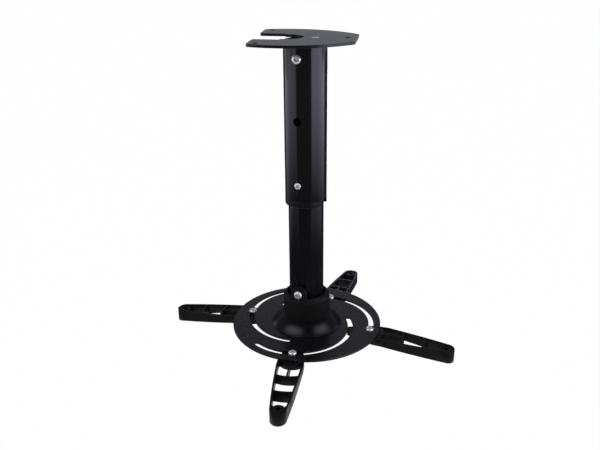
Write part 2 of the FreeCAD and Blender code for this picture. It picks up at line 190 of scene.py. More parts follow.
@dataclass(frozen=True)
class Finish:
    """A surface finish: two close colours, a roughness range and a fine skin.

    The skin has a broad wave and a fine grain, both as bump, and the colours and
    the roughness drift with them.
    """

    name: str
    shade: Colour
    tint: Colour
    roughness: Span
    specular: float
    wave_mm: float
    grain_mm: float
    relief: Span
    metallic: float = 0.0
    wave_detail: float = 2.0
    grain_detail: float = 3.0
    wave_depth_mm: float = 0.2
    grain_depth_mm: float = 0.1

    def material(self) -> bpy.types.Material:
        """Build the material.

        Returns:
            The material, which is built only once.
        """
        found = bpy.data.materials.get(self.name)
        if found:
            return found
        made = bpy.data.materials.new(self.name)
        made.use_nodes = True
        shader = made.node_tree.nodes["Principled BSDF"]
        shader.inputs["Metallic"].default_value = self.metallic
        shader.inputs["Specular IOR Level"].default_value = self.specular
        sheet = NodeSheet(made.node_tree)
        place = sheet.add("ShaderNodeTexCoord").outputs["Object"]
        wave = sheet.noise(place, self.wave_mm, self.wave_detail)
        grain = sheet.noise(place, self.grain_mm, self.grain_detail)
        mixed = sheet.math("MULTIPLY", sheet.math("ADD", wave, grain), 0.5)
        colour = sheet.blend(mixed, self.shade, self.tint)
        rough = sheet.spread(mixed, sheet.NOISE_MIDDLE, self.roughness)
        broad = sheet.bump(wave, self.relief[0], self.wave_depth_mm)
        fine = sheet.bump(grain, self.relief[1], self.grain_depth_mm, broad)
        for key, value in (("Base Color", colour), ("Roughness", rough), ("Normal", fine)):
            made.node_tree.links.new(value, shader.inputs[key])
        return made


POWDER_COAT = Finish(
    "satin_black_powder_coat", shade=(0.0038, 0.0039, 0.0048), tint=(0.0052, 0.0053, 0.0065),
    roughness=(0.25, 0.28), specular=0.30, wave_mm=2.6, grain_mm=0.7, relief=(0.012, 0.006))
TUBE_COAT = Finish(
    "smooth_black_tube_coat", shade=(0.0026, 0.0026, 0.0031), tint=(0.0042, 0.0042, 0.0050),
    roughness=(0.13, 0.16), specular=0.30, wave_mm=4.0, grain_mm=0.6, relief=(0.012, 0.008))
INNER_COAT = Finish(
    "satin_black_inner_tube_coat", shade=(0.0030, 0.0030, 0.0034), tint=(0.0046, 0.0046, 0.0052),
    roughness=(0.17, 0.21), specular=0.18, wave_mm=4.0, grain_mm=0.6, relief=(0.012, 0.010))
DOME_COAT = Finish(
    "satin_black_dome_coat", shade=(0.0026, 0.0026, 0.0031), tint=(0.0042, 0.0042, 0.0050),
    roughness=(0.19, 0.23), specular=0.15, wave_mm=3.2, grain_mm=0.5, relief=(0.012, 0.012))
CAST_COAT = Finish(
    "rough_black_casting_coat", shade=(0.0076, 0.0076, 0.0079), tint=(0.0100, 0.0100, 0.0104),
    roughness=(0.40, 0.50), specular=0.05, wave_mm=2.2, grain_mm=0.5, relief=(0.06, 0.10))
MOULDING = Finish(
    "moulded_black_plastic", shade=(0.0036, 0.0036, 0.0039), tint=(0.0058, 0.0058, 0.0063),
    roughness=(0.34, 0.44), specular=0.13, wave_mm=3.0, grain_mm=0.35, relief=(0.06, 0.12))
BUSH_PLASTIC = Finish(
    "smooth_black_plastic", shade=(0.0034, 0.0034, 0.0037), tint=(0.0052, 0.0052, 0.0057),
    roughness=(0.32, 0.42), specular=0.14, wave_mm=3.0, grain_mm=0.4, relief=(0.06, 0.08))
ZINC_PLATE = Finish(
    "bright_zinc_plate", shade=(0.62, 0.62, 0.62), tint=(0.75, 0.75, 0.75),
    roughness=(0.18, 0.28), specular=0.5, wave_mm=1.6, grain_mm=0.4, relief=(0.03, 0.03), metallic=0.62)


@dataclass(frozen=True)
class Shading:
    """Smooth shading that keeps sharp edges and large flat faces.

    Edges sharper than the angle stay sharp. Faces with more corners than a quad
    and more area than flat_mm2 are shaded flat.
    """

    QUAD = 4

    degrees: float
    flat_mm2: float

    def apply(self, mesh: Mesh) -> None:
        """Shade a mesh.

        Args:
            mesh: Mesh to shade.
        """
        mesh.shade_smooth()
        mesh.set_sharp_from_angle(angle=math.radians(self.degrees))
        for face in mesh.polygons:
            if len(face.vertices) > self.QUAD and face.area > self.flat_mm2 * MM * MM:
                face.use_smooth = False


COPIED = Shading(28.0, 12.0)
TURNED = Shading(32.0, 1.0)
BORED = Shading(32.0, 4000.0)
FASTENED = Shading(34.0, 0.5)


def show(name: str, data: bpy.types.ID) -> Piece:
    """Put a mesh, a lamp or a camera into the scene.

    Args:
        name: Name of the object.
        data: What the object shows.

    Returns:
        The new object.
    """
    piece = bpy.data.objects.new(name, data)
    bpy.context.scene.collection.objects.link(piece)
    return piece


def mesh_from(work: bmesh.types.BMesh, name: str) -> Mesh:
    """Turn worked geometry into a new mesh.

    Args:
        work: Worked geometry, which is freed.
        name: Name of the mesh.

    Returns:
        The new mesh.
    """
    mesh = bpy.data.meshes.new(name)
    work.to_mesh(mesh)
    work.free()
    return mesh


def baked(holder: Piece) -> Mesh:
    """Turn an object with modifiers into a plain mesh.

    Args:
        holder: Object to turn, which is removed.

    Returns:
        The plain mesh.
    """
    bpy.context.view_layer.update()
    graph = bpy.context.evaluated_depsgraph_get()
    mesh = bpy.data.meshes.new_from_object(holder.evaluated_get(graph), depsgraph=graph)
    holder.modifiers.clear()
    bpy.data.objects.remove(holder)
    return mesh


def dress(piece: Piece, finish: Finish, slot: Slot, body: str, *nodes: str) -> None:
    """Give a piece its finish, its body and the solids that it stands for.

    Args:
        piece: Finished piece.
        finish: Surface finish.
        slot: Material slot of the record; not used.
        body: Body that the piece moves with.
        nodes: Solids that the piece stands for.
    """
    piece.data.materials.clear()
    piece.data.materials.append(finish.material())
    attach(piece, body)
    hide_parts(*nodes)
    log.info("%s: %d faces on %s", piece.name, len(piece.data.polygons), body)


@dataclass(frozen=True)
class EasedCopy:
    """A solid of the frame with its triangles joined and its sharp edges eased."""

    MERGE_MM = 0.002
    FLAT_DEGREES = 0.25
    SHARP_DEGREES = 32.0
    STEPS = 2
    ROUND = 0.5

    node: str
    name: str
    edge_mm: float

    def piece(self) -> Piece:
        """Copy the solid and ease its edges.

        Returns:
            The new piece.
        """
        work = bmesh.new()
        work.from_mesh(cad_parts[self.node].data)
        bmesh.ops.remove_doubles(work, verts=work.verts, dist=self.MERGE_MM * MM)
        flat = math.radians(self.FLAT_DEGREES)
        bmesh.ops.dissolve_limit(work, angle_limit=flat, verts=work.verts, edges=work.edges)
        limit = math.radians(self.SHARP_DEGREES)
        inner = [edge for edge in work.edges if len(edge.link_faces) == 2]
        edges = [edge for edge in inner if edge.calc_face_angle() > limit]
        bmesh.ops.bevel(work, geom=edges, offset=self.edge_mm * MM, offset_type="OFFSET", segments=self.STEPS,
                        profile=self.ROUND, affect="EDGES", clamp_overlap=True, loop_slide=True)
        mesh = mesh_from(work, self.name)
        COPIED.apply(mesh)
        return show(self.name, mesh)

    def fit(self, finish: Finish, slot: Slot, body: str) -> None:
        """Stand the copy in its solid's place, dressed."""
        dress(self.piece(), finish, slot, body, self.node)


def set_inputs(holder: Piece, tree: Tree, values: dict[str, object]) -> None:
    """Put a tree on an object with its named inputs set.

    Args:
        holder: Object that gets the modifier.
        tree: Geometry node tree.
        values: Input name to value.
    """
    identifiers = {item.name: item.identifier for item in tree.interface.items_tree
                   if item.item_type == "SOCKET" and item.in_out == "INPUT"}
    modifier = holder.modifiers.new(tree.name, "NODES")
    modifier.node_group = tree
    for name, value in values.items():
        modifier[identifiers[name]] = value


class ShapeTree:
    """Shared frame of the geometry node trees: named inputs, a shape, and the closing nodes."""

    NAME = "shape"
    INPUTS: dict[str, str] = {}

    @classmethod
    def tree(cls) -> Tree:
        """Build the tree.

        Returns:
            The tree, which is built only once.
        """
        found = bpy.data.node_groups.get(cls.NAME)
        if found:
            return found
        tree = bpy.data.node_groups.new(cls.NAME, "GeometryNodeTree")
        for name, kind in {**cls.INPUTS, "Material": "Material"}.items():
            tree.interface.new_socket(name, in_out="INPUT", socket_type="NodeSocket" + kind)
        tree.interface.new_socket("Geometry", in_out="OUTPUT", socket_type="NodeSocketGeometry")
        sheet = NodeSheet(tree)
        given = sheet.add("NodeGroupInput").outputs
        shape = cls.shape(sheet, given)
        real = sheet.add("GeometryNodeRealizeInstances", {0: shape}).outputs[0]
        coloured = sheet.add("GeometryNodeSetMaterial", {"Geometry": real, "Material": given["Material"]})
        sheet.add("NodeGroupOutput", {0: coloured.outputs[0]})
        return tree

    @classmethod
    def shape(cls, sheet: NodeSheet, given: Sockets) -> Socket:
        """Add the nodes that make the shape; each kind says which."""
        raise NotImplementedError


class TurnedTree(ShapeTree):
    """Turns a line of profile points about the Z axis."""

    NAME = "turned_profile"
    INPUTS = {"Profile": "Geometry", "Segments": "Int", "Start": "Float", "Sweep": "Float"}
    SEAM_MM = 0.0005

    @classmethod
    def shape(cls, sheet: NodeSheet, given: Sockets) -> Socket:
        """Turn the given profile."""
        return cls.turn(sheet, given["Profile"], given["Segments"], given["Start"], given["Sweep"])

    @classmethod
    def turn(cls, sheet: NodeSheet, profile: Socket, segments: Value, start: Value, sweep: Value) -> Socket:
        """Add the nodes that turn a profile.

        Args:
            sheet: Sheet for the nodes.
            profile: Geometry whose points are the profile, X outward and Z up, in order.
            segments: Steps round the axis.
            start: Angle of the first step, in radians.
            sweep: Angle turned through, in radians.

        Returns:
            The turned mesh.
        """
        size = sheet.add("GeometryNodeAttributeDomainSize", {0: profile}, component="MESH")
        around = sheet.whole("ADD", segments, 1)
        grid = sheet.add("GeometryNodeMeshGrid", {"Vertices X": size.outputs["Point Count"],
                                                  "Vertices Y": around})
        index = sheet.add("GeometryNodeInputIndex").outputs[0]
        step = sheet.whole("MODULO", index, around)
        along = sheet.whole("DIVIDE_FLOOR", index, around)
        place = sheet.add("GeometryNodeInputPosition").outputs[0]
        sample = sheet.add("GeometryNodeSampleIndex", {"Geometry": profile, "Value": place, "Index": along},
                           data_type="FLOAT_VECTOR", domain="POINT")
        parts = sheet.add("ShaderNodeSeparateXYZ", {0: sample.outputs[0]}).outputs
        share = sheet.math("DIVIDE", step, segments)
        angle = sheet.math("ADD", sheet.math("MULTIPLY", share, sweep), start)
        x = sheet.math("MULTIPLY", parts["X"], sheet.math("COSINE", angle))
        y = sheet.math("MULTIPLY", parts["X"], sheet.math("SINE", angle))
        spot = sheet.add("ShaderNodeCombineXYZ", {0: x, 1: y, 2: parts["Z"]}).outputs[0]
        bent = sheet.add("GeometryNodeSetPosition", {"Geometry": grid.outputs["Mesh"], "Position": spot})
        seam = {"Geometry": bent.outputs[0], "Distance": cls.SEAM_MM * MM}
        return sheet.add("GeometryNodeMergeByDistance", seam).outputs[0]


class FastenerTree(ShapeTree):
    """Turns an outline into a blank, finishes it and stands a copy on each spot."""

    SIDES = 6

    @classmethod
    def shape(cls, sheet: NodeSheet, given: Sockets) -> Socket:
        """Add the blank, its cuts and its copies.

        Args:
            sheet: Sheet for the nodes.
            given: Inputs of the tree.

        Returns:
            The copies on the spots.
        """
        outline = sheet.add("GeometryNodeObjectInfo", {"Object": given["Outline"]}).outputs["Geometry"]
        blank = TurnedTree.turn(sheet, outline, given["Segments"], 0.0, math.tau)
        flipped = sheet.add("GeometryNodeFlipFaces", {0: blank}).outputs[0]
        solid = cls.cut(sheet, flipped, given)
        aim = sheet.add("GeometryNodeInputNamedAttribute", {"Name": "aim"}, data_type="FLOAT_VECTOR")
        turn = sheet.add("FunctionNodeAlignRotationToVector", {"Vector": aim.outputs[0]}, axis="Z")
        spots = {"Points": given["Spots"], "Instance": solid, "Rotation": turn.outputs[0]}
        return sheet.add("GeometryNodeInstanceOnPoints", spots).outputs[0]

    @classmethod
    def cut(cls, sheet: NodeSheet, blank: Socket, given: Sockets) -> Socket:
        """Cut the blank to its shape; each kind says how."""
        raise NotImplementedError

    @staticmethod
    def named(*sizes: str) -> dict[str, str]:
        """Inputs of a fastener tree that has these sizes."""
        first = {"Spots": "Geometry", "Outline": "Object", "Segments": "Int"}
        return {**first, **{size: "Float" for size in sizes}}

    @staticmethod
    def bar(sheet: NodeSheet, sides: int, radius: Value, depth: Value, height: Value) -> Socket:
        """Add an upright bar.

        Args:
            sheet: Sheet for the nodes.
            sides: Number of sides.
            radius: Distance from the axis to a corner.
            depth: Length of the bar.
            height: Height of its middle.

        Returns:
            The bar's mesh.
        """
        bar = sheet.add("GeometryNodeMeshCylinder", {"Vertices": sides, "Radius": radius, "Depth": depth})
        lift = sheet.add("ShaderNodeCombineXYZ", {2: height}).outputs[0]
        moved = {"Geometry": bar.outputs["Mesh"], "Translation": lift}
        return sheet.add("GeometryNodeTransform", moved).outputs[0]

    @staticmethod
    def less(sheet: NodeSheet, solid: Socket, cutter: Socket) -> Socket:
        """Cut one mesh out of another."""
        return sheet.add("GeometryNodeMeshBoolean", {"Mesh 1": solid, "Mesh 2": cutter},
                         operation="DIFFERENCE", solver="EXACT").outputs[0]


class ScrewTree(FastenerTree):
    """Socket screws on points: turned blanks with a six-sided key socket."""

    NAME = "socket_screws"
    INPUTS = FastenerTree.named("Key Radius", "Socket Depth", "Head Height")

    @classmethod
    def cut(cls, sheet: NodeSheet, blank: Socket, given: Sockets) -> Socket:
        """Sink the key socket into the head.

        Args:
            sheet: Sheet for the nodes.
            blank: Turned blank.
            given: Inputs of the tree.

        Returns:
            The screw's mesh.
        """
        # The bar's middle is at the crown, so it is twice as long as the socket is deep
        depth = sheet.math("MULTIPLY", given["Socket Depth"], 2.0)
        key = cls.bar(sheet, cls.SIDES, given["Key Radius"], depth, given["Head Height"])
        return cls.less(sheet, blank, key)


class NutTree(FastenerTree):
    """Hexagon nuts on points: hexagon bars kept inside a turned blank, then bored."""

    NAME = "hexagon_nuts"
    INPUTS = FastenerTree.named("Corner Radius", "Nut Height", "Bore Radius")
    BORE_SIDES = 32
    BAR_SHARE = 1.5

    @classmethod
    def cut(cls, sheet: NodeSheet, blank: Socket, given: Sockets) -> Socket:
        """Cut the six flats and the bore.

        Args:
            sheet: Sheet for the nodes.
            blank: Turned blank.
            given: Inputs of the tree.

        Returns:
            The nut's mesh.
        """
        middle = sheet.math("MULTIPLY", given["Nut Height"], -0.5)
        tall = sheet.math("MULTIPLY", given["Nut Height"], cls.BAR_SHARE)
        flats = cls.bar(sheet, cls.SIDES, given["Corner Radius"], tall, middle)
        bore = cls.bar(sheet, cls.BORE_SIDES, given["Bore Radius"], tall, middle)
        kept = sheet.add("GeometryNodeMeshBoolean", operation="INTERSECT", solver="EXACT")
        sheet.tree.links.new(blank, kept.inputs["Mesh 2"])
        sheet.tree.links.new(flats, kept.inputs["Mesh 2"])
        return cls.less(sheet, kept.outputs[0], bore)


def point_object(name: str, points: list[Vector], aim: Vector | None = None) -> Piece:
    """Show a mesh of loose points.

    Args:
        name: Name of the object.
        points: Places of the points.
        aim: Direction kept with every point, if there is one.

    Returns:
        The new object.
    """
    mesh = bpy.data.meshes.new(name)
    mesh.from_pydata([tuple(point) for point in points], [], [])
    if aim is not None:
        for item in mesh.attributes.new("aim", "FLOAT_VECTOR", "POINT").data:
            item.vector = aim
    return show(name, mesh)


def profile_points(profile: list[Point]) -> list[Vector]:
    """Turn radius and height pairs in millimetres into points."""
    return [Vector((r * MM, 0, z * MM)) for r, z in profile]


def outward(mesh: Mesh) -> None:
    """Close the open ends of a mesh and point its faces outwards.

    Args:
        mesh: Mesh to close.
    """
    work = bmesh.new()
    work.from_mesh(mesh)
    bmesh.ops.holes_fill(work, edges=[edge for edge in work.edges if edge.is_boundary])
    bmesh.ops.recalc_face_normals(work, faces=work.faces)
    work.to_mesh(mesh)
    work.free()


def turned(name: str, profile: list[Point], segments: int = 128, start: float = 0.0,
           sweep: float = 360.0) -> Piece:
    """Turn a closed profile about the column's axis.

    Args:
        name: Name of the piece.
        profile: Radius and height pairs in millimetres, first one repeated at the end.
        segments: Steps round the axis.
        start: Bearing of the first step, in degrees.
        sweep: Angle turned through, in degrees.

    Returns:
        The new piece.
    """
    holder = point_object(name + "_profile", profile_points(profile))
    angles = {"Start": math.radians(start), "Sweep": math.radians(sweep)}
    set_inputs(holder, TurnedTree.tree(), {"Segments": segments, **angles})
    mesh = baked(holder)
    mesh.name = name
    outward(mesh)
    TURNED.apply(mesh)
    return show(name, mesh)


def rounded(corner: Point, before: Point, after: Point, radius: float, steps: int = 4) -> list[Point]:
    """Round one corner of a profile.

    Args:
        corner: Corner to round.
        before: Point that the profile comes from.
        after: Point that the profile goes to.
        radius: Size of the round, measured back along each side.
        steps: Pieces that the round is made of.

    Returns:
        Points of the round.
    """
    middle = Vector(corner)
    start = middle + (Vector(before) - middle).normalized() * radius
    end = middle + (Vector(after) - middle).normalized() * radius
    points = []
    for i in range(steps + 1):
        t = i / steps
        points.append(tuple((1 - t) ** 2 * start + 2 * t * (1 - t) * middle + t * t * end))
    return points


def eased_profile(corners: list[Corner]) -> list[Point]:
    """Close a profile with each corner rounded by its own amount.

    Args:
        corners: Radius, height and round of each corner in millimetres, in order.

    Returns:
        Profile points, first one repeated at the end.
    """
    points: list[Point] = []
    total = len(corners)
    for i, (r, z, ease) in enumerate(corners):
        before = corners[i - 1][:2]
        after = corners[(i + 1) % total][:2]
        points += rounded((r, z), before, after, ease) if ease else [(r, z)]
    return points + points[:1]


def bearing(radius: float, degrees: float, height: float = 0.0) -> Vector:
    """Point at a radius and bearing from the column's axis, all in millimetres and degrees."""
    angle = math.radians(degrees)
    return Vector((radius * math.cos(angle), radius * math.sin(angle), height)) * MM


def heading(degrees: float) -> Vector:
    """Level direction at a bearing, one metre long."""
    return bearing(1 / MM, degrees)


def bored(piece: Piece, holes: list[Hole], segments: int = 64) -> Piece:
    """Cut round holes across the column into a piece.

    Args:
        piece: Piece to cut.
        holes: Radius, bearing, height, near end and far end of each hole.
        segments: Steps round a hole.

    Returns:
        The piece with its holes.
    """
    name = piece.name
    cutters = []
    for radius, degrees, height, near, far in holes:
        work = bmesh.new()
        ends = {"radius1": radius * MM, "radius2": radius * MM}
        bmesh.ops.create_cone(work, cap_ends=True, segments=segments, depth=(far - near) * MM, **ends)
        turn = heading(degrees).to_track_quat("Z", "Y").to_matrix().to_4x4()
        turn.translation = bearing((near + far) / 2, degrees, height)
        bmesh.ops.transform(work, matrix=turn, verts=work.verts)
        cutters.append(show(name + "_cutter", mesh_from(work, name + "_cutter")))
        cut = piece.modifiers.new("hole", "BOOLEAN")
        cut.object, cut.operation, cut.solver = cutters[-1], "DIFFERENCE", "EXACT"
    mesh = baked(piece)
    for cutter in cutters:
        bpy.data.objects.remove(cutter)
    mesh.name = name
    BORED.apply(mesh)
    return show(name, mesh)


class Fastener:
    """Zinc-plated piece that a node tree turns, cuts and stands on its spot."""

    SEGMENTS = 48
    TREE: type[FastenerTree]

    def outline(self) -> list[Point]:
        """Half outline that the tree turns."""
        raise NotImplementedError

    def sizes(self) -> dict[str, float]:
        """Named sizes of the tree, in metres."""
        raise NotImplementedError

    def fit(self, name: str, spot: Spot, body: str, node: str) -> None:
        """Stand one on its spot, as a plain mesh, and dress it.

        Args:
            name: Name of the piece.
            spot: Seat and the way that the fastener faces.
            body: Body that the piece moves with.
            node: Solid that the piece stands for.
        """
        outline = point_object(name + "_outline", profile_points(self.outline()))
        holder = point_object(name + "_spot", [spot[0]], spot[1])
        shared = {"Outline": outline, "Segments": self.SEGMENTS, "Material": ZINC_PLATE.material()}
        set_inputs(holder, self.TREE.tree(), {**shared, **self.sizes()})
        mesh = baked(holder)
        bpy.data.objects.remove(outline)
        mesh.name = name
        FASTENED.apply(mesh)
        dress(show(name, mesh), ZINC_PLATE, Slot.ZINC, body, node)


@dataclass
class SocketScrew(Fastener):
    """Screw with a six-sided key socket, sizes in millimetres."""

    TREE = ScrewTree
    RIM_STEPS = 3
    HEAD_JOIN = 0.02
    SHORTEST_PLAIN = 1.0
    SHORTEST_NECK = 0.1
    # Thread form as shares of the pitch
    THREAD_DEPTH = 0.54
    ROOT_FLAT = (0.4, 0.55)
    CREST = 0.9
    LAST_TURN = 0.6
    END_CHAMFER = 0.5

    radius: float
    head_r: float
    head_h: float
    key: float
    length: float
    pitch: float = 1.0
    thread_len: float = 8.0
    socket_share: float = 0.72

    def head(self) -> list[Point]:
        """Half outline of the head, from its crown to the shank."""
        raise NotImplementedError

    def shank(self, start: float) -> list[Point]:
        """Trace the plain shank and the threaded end.

        Args:
            start: Height at which the shank leaves the head.

        Returns:
            Half outline of the shank.
        """
        root = self.radius - self.THREAD_DEPTH * self.pitch
        root_start, root_end = (share * self.pitch for share in self.ROOT_FLAT)
        z = -(self.length - min(self.thread_len, self.length - self.SHORTEST_PLAIN))
        points = [(self.radius, start), (self.radius, min(z, start - self.SHORTEST_NECK))]
        while z - self.pitch > -self.length + self.LAST_TURN * self.pitch:
            points += [(root, z - root_start), (root, z - root_end),
                       (self.radius, z - self.CREST * self.pitch), (self.radius, z - self.pitch)]
            z -= self.pitch
        chamfer = -self.length + self.END_CHAMFER * self.pitch
        return points + [(self.radius, chamfer), (root, -self.length), (0.0, -self.length)]

    def outline(self) -> list[Point]:
        """Half outline of the head and the shank."""
        head = self.head()
        return head + self.shank(head[-1][1] - self.HEAD_JOIN)

    def sizes(self) -> dict[str, float]:
        """Sizes of the key socket, in metres, with the height of the crown that it starts from."""
        return {"Key Radius": self.key / math.sqrt(3) * MM, "Head Height": self.head()[0][1] * MM,
                "Socket Depth": self.socket_share * self.head_h * MM}


class ButtonScrew(SocketScrew):
    """Socket screw with a domed head that stands on its seat."""

    CROWN_SHARE = 0.42
    FLAT_SHARE = 0.85
    EDGE_SHARE = 0.2
    ARC_STEPS = 8
    RIM_ROUND = 0.25

    def head(self) -> list[Point]:
        """Trace the dome and its small upright edge.

        Returns:
            Half outline of the head.
        """
        crown = self.CROWN_SHARE * self.head_r
        edge = self.EDGE_SHARE * self.head_h
        points = [(0.0, self.head_h), (crown * self.FLAT_SHARE, self.head_h)]
        for i in range(self.ARC_STEPS + 1):
            angle = math.radians(90 - 90 * i / self.ARC_STEPS)
            across = crown + (self.head_r - crown) * math.cos(angle)
            points.append((across, edge + (self.head_h - edge) * math.sin(angle)))
        rim = (self.head_r, 0.0)
        return points + rounded(rim, (self.head_r, edge), (self.radius, 0.0), self.RIM_ROUND, self.RIM_STEPS)


class SunkScrew(SocketScrew):
    """Socket screw with a countersunk head, level with its seat plane."""

    RIM_ROUND = 0.2

    def head(self) -> list[Point]:
        """Trace the flat top and the cone under it.

        Returns:
            Half outline of the head.
        """
        low = self.radius - self.head_r
        rim = rounded((self.head_r, 0.0), (0.0, 0.0), (self.radius, low), self.RIM_ROUND, self.RIM_STEPS)
        return [(0.0, 0.0), *rim, (self.radius + self.HEAD_JOIN, low + self.HEAD_JOIN)]


@dataclass
class HexNut(Fastener):
    """Hexagon nut with turned corners, sizes in millimetres."""

    TREE = NutTree
    CHAMFER_SHARE = 0.8
    BLANK_SHARE = 1.02

    flats: float
    height: float
    bore: float

    def outline(self) -> list[Point]:
        """Trace the blank that the hexagon is cut from, top face at zero.

        Returns:
            Half outline of the blank.
        """
        corner = self.flats / math.sqrt(3)
        drop = (corner - self.flats / 2) * self.CHAMFER_SHARE
        wide = corner * self.BLANK_SHARE
        return [(0.0, 0.0), (self.flats / 2, 0.0), (wide, -drop), (wide, drop - self.height),
                (self.flats / 2, -self.height), (0.0, -self.height)]

    def sizes(self) -> dict[str, float]:
        """Sizes of the hexagon and the bore, in metres."""
        return {"Corner Radius": self.flats / math.sqrt(3) * MM, "Nut Height": self.height * MM,
                "Bore Radius": self.bore * MM}


M4 = {"radius": 2.0, "head_r": 3.8, "head_h": 2.2, "key": 2.5, "pitch": 0.7}
M5 = {"radius": 2.5, "head_r": 4.75, "head_h": 2.75, "key": 3.0, "pitch": 0.8}
M6 = {"radius": 3.0, "head_r": 5.25, "head_h": 3.3, "key": 4.0, "pitch": 1.0}
M6_SMALL_HEAD = {**M6, "head_r": 5.0}
M8 = {"radius": 4.0, "head_r": 7.0, "head_h": 4.4, "key": 5.0, "pitch": 1.25}
M5_NUT = HexNut(flats=8.0, height=4.0, bore=2.58)
M6_NUT = HexNut(flats=10.0, height=6.0, bore=3.0)
M8_NUT = HexNut(flats=13.0, height=8.0, bore=4.0)


@dataclass
class CeilingHead:
    """Forked ceiling plate with the spigot under it, sizes in millimetres."""

    body: str = "ceiling"
    plate_edge: float = 0.25
    spigot_edge: float = 0.3
    plate_thick: float = 3.0
    lug_len: float = 14.0
    lug_floor: float = 2.0
    screw_x: float = 11.0
    screw_sink: float = 0.2

    def build(self) -> None:
        """Build the plate, the spigot and the plate screw."""
        EasedCopy("ceiling_plate", "forked_plate", self.plate_edge).fit(POWDER_COAT, Slot.STEEL, self.body)
        EasedCopy("neck_spigot", "plate_spigot", self.spigot_edge).fit(TUBE_COAT, Slot.STEEL, self.body)
        screw = SunkScrew(length=self.plate_thick + self.lug_len - self.screw_sink - self.lug_floor, **M5)
        seat = Vector((self.screw_x, 0, -self.screw_sink)) * MM
        screw.fit("plate_key_screw", (seat, UP), self.body, "plate_screw")


@dataclass
class Column:
    """Two tubes, the split bush between them and the bolts that clamp them, sizes in millimetres."""

    outer_body: str = "outer_column"
    inner_body: str = "inner_column"
    outer_r: float = 23.75
    outer_wall: float = 2.0
    outer_top: float = -3.0
    outer_low: float = -179.0
    inner_r: float = 20.25
    inner_wall: float = 1.8
    inner_top: float = -127.0
    inner_low: float = -308.6
    rim_round: float = 0.5
    bore_round: float = 0.4
    guide_edge: float = 0.3
    lip_len: float = 7.2
    lip_round: float = 1.8
    lip_top_round: float = 0.35
    sleeve_len: float = 34.0
    slide_gap: float = 0.1
    bush_steps: int = 144
    slit: float = 44.0
    slit_turn: float = 92.0
    lock_z: float = -19.2
    spare_z: float = -86.2
    clamp_z: float = -159.0
    spare_r: float = 4.6
    drill_spare: float = 2.0
    clamp_gap: float = 0.5
    spigot_gap: float = 0.08
    bolt_end_gap: float = 0.1
    bolt_thread: float = 0.5

    def tube(self, name: str, radius: float, wall: float, low: float, top: float) -> Piece:
        """Turn a tube with eased rims.

        Args:
            name: Name of the piece.
            radius: Outer radius.
            wall: Wall thickness.
            low: Height of the lower rim.
            top: Height of the upper rim.

        Returns:
            The tube.
        """
        bore = radius - wall
        rims = [(radius, low, self.rim_round), (radius, top, self.rim_round),
                (bore, top, self.bore_round), (bore, low, self.bore_round)]
        return turned(name, eased_profile(rims))

    def build(self) -> None:
        """Build the tubes, the bush, the guide ring and the clamp bolts."""
        outer = self.tube("outer_column_tube", self.outer_r, self.outer_wall, self.outer_low, self.outer_top)
        reach = self.outer_r + self.drill_spare
        places = ((M6["radius"], self.lock_z), (self.spare_r, self.spare_z), (M4["radius"], self.clamp_z))
        outer = bored(outer, [(radius, BOLT_BEARING, z, 0.0, reach) for radius, z in places])
        dress(outer, TUBE_COAT, Slot.STEEL, self.outer_body, "outer_tube")
        inner = self.tube("inner_column_tube", self.inner_r, self.inner_wall, self.inner_low, self.inner_top)
        inner = bored(inner, [(M6["radius"], BOLT_BEARING, TILT_Z, -reach, reach)])
        dress(inner, INNER_COAT, Slot.STEEL, self.inner_body, "inner_tube")
        self.build_bush()
        ring = EasedCopy("guide_ring", "top_guide_ring", self.guide_edge)
        ring.fit(BUSH_PLASTIC, Slot.PLASTIC, self.inner_body)
        self.build_bolts()

    def build_bush(self) -> None:
        """Build the split bush with its rounded lip."""
        lip = self.outer_low - self.lip_len
        top = self.outer_low + self.sleeve_len
        bore = self.inner_r + self.slide_gap
        sleeve_r = self.outer_r - self.outer_wall
        corners = [(self.outer_r, lip, self.lip_round), (self.outer_r, self.outer_low, self.lip_top_round),
                   (sleeve_r, self.outer_low, 0.0), (sleeve_r, top, self.bore_round),
                   (bore, top, self.bore_round), (bore, lip, self.rim_round)]
        first = BOLT_BEARING + self.slit_turn + self.slit / 2
        bush = turned("split_bush", eased_profile(corners), self.bush_steps, first, 360 - self.slit)
        bush = bored(bush, [(M4["radius"] + self.clamp_gap, BOLT_BEARING, self.clamp_z, 0.0, self.outer_r)])
        dress(bush, BUSH_PLASTIC, Slot.PLASTIC, self.outer_body, "tube_bush")

    def build_bolts(self) -> None:
        """Build the two clamp bolts in the outer tube's wall."""
        spigot_r = self.outer_r - self.outer_wall - self.spigot_gap
        for name, node, size, z, reach in (
                ("upper_lock_bolt", "column_lock_bolt", M6, self.lock_z, spigot_r),
                ("lower_clamp_bolt", "height_clamp_bolt", M4, self.clamp_z, self.inner_r)):
            seat = math.sqrt(self.outer_r ** 2 - size["head_r"] ** 2)
            bolt = ButtonScrew(length=seat - reach - self.bolt_end_gap, thread_len=self.bolt_thread, **size)
            spot = (bearing(seat, BOLT_BEARING, z), heading(BOLT_BEARING))
            bolt.fit(name, spot, self.outer_body, node)


